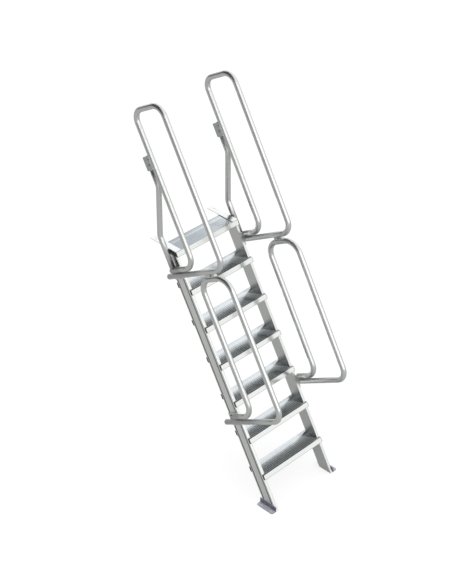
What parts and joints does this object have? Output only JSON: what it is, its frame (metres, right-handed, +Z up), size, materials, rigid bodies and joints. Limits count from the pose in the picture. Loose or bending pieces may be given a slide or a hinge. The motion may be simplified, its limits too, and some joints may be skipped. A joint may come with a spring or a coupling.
{
  "type": "fixed aluminium stair",
  "caption": "Steep fixed aluminium stair with ribbed treads between its stringers, bent tube rail loops on both sides, foot brackets and landing plates.",
  "frame": {"origin": "middle of the left foot bracket's flange, on its underside at floor level", "axes": "+Z up, +Y the way a person climbs, +X to the climber's right, from the left stringer to the right one"},
  "size_m": [0.7132, 1.3966, 2.8789],
  "materials": {
    "stringer_metal": "satin mill finish",
    "tread_metal": "ribbed mill finish",
    "tube_metal": "satin, drawn tube",
    "plate_metal": "satin plate",
    "bracket_metal": "dull pressed angle",
    "cap_plastic": "black moulded"
  },
  "bodies": {
    "root": {"left_stringer": "stringer_metal", "right_stringer": "stringer_metal", "tread_1": "tread_metal", "tread_2": "tread_metal", "tread_3": "tread_metal", "tread_4": "tread_metal", "tread_5": "tread_metal", "tread_6": "tread_metal", "tread_7": "tread_metal", "tread_caps_left": "cap_plastic", "tread_caps_right": "cap_plastic", "landing_plate_left": "plate_metal", "landing_plate_right": "plate_metal", "foot_bracket_left": "bracket_metal", "foot_bracket_right": "bracket_metal", "upper_rail_loop_left": "tube_metal", "upper_rail_loop_right": "tube_metal", "lower_rail_loop_left": "tube_metal", "lower_rail_loop_right": "tube_metal", "rail_strut_left": "tube_metal", "rail_strut_right": "tube_metal", "upper_rail_mount_left": "plate_metal", "upper_rail_mount_right": "plate_metal", "lower_rail_mount_left": "plate_metal", "lower_rail_mount_right": "plate_metal", "strut_bracket_left": "plate_metal", "strut_bracket_right": "plate_metal", "loop_connector_left": "plate_metal", "loop_connector_right": "plate_metal"}
  },
  "joints": []
}
